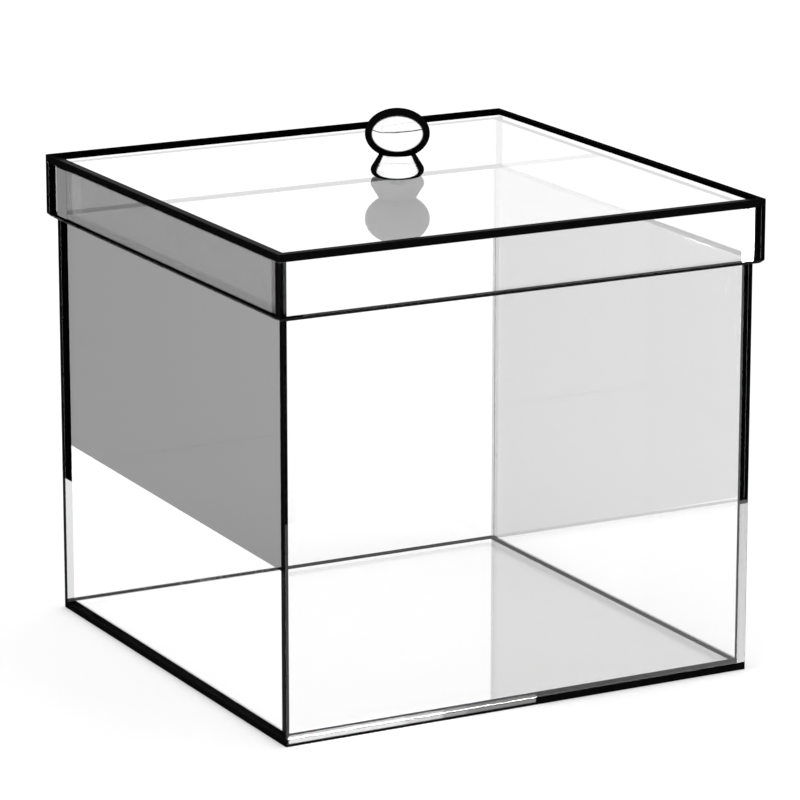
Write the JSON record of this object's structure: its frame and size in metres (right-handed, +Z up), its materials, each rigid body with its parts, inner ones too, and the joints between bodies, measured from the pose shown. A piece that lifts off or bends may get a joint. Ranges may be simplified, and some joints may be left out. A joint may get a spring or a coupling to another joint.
{
  "type": "acrylic box with lid",
  "caption": "Clear acrylic display box, nearly a cube, cemented from flat sheets, with a slip-over lid that lifts off by a turned clear knob.",
  "frame": {"origin": "centre of the base panel's underside, on the surface that the box stands on", "axes": "+Z up through the knob, the front wall faces -Y and the left wall faces -X"},
  "size_m": [0.2788, 0.2788, 0.2888],
  "materials": {
    "box_acrylic": "clear cast acrylic sheet, polished faces and edges",
    "lid_acrylic": "clear cast acrylic sheet, polished faces and edges",
    "knob_acrylic": "clear acrylic, turned and polished"
  },
  "bodies": {
    "box": {"base_panel": "box_acrylic", "front_wall": "box_acrylic", "back_wall": "box_acrylic", "left_wall": "box_acrylic", "right_wall": "box_acrylic"},
    "lid": {"lid_top": "lid_acrylic", "lid_front_skirt": "lid_acrylic", "lid_back_skirt": "lid_acrylic", "lid_left_skirt": "lid_acrylic", "lid_right_skirt": "lid_acrylic", "knob": "knob_acrylic"}
  },
  "joints": [
    {"name": "lid_lift", "type": "slide", "parent": "box", "child": "lid", "axis": [0, 0, 1], "range_m": [0, 0.1]}
  ]
}
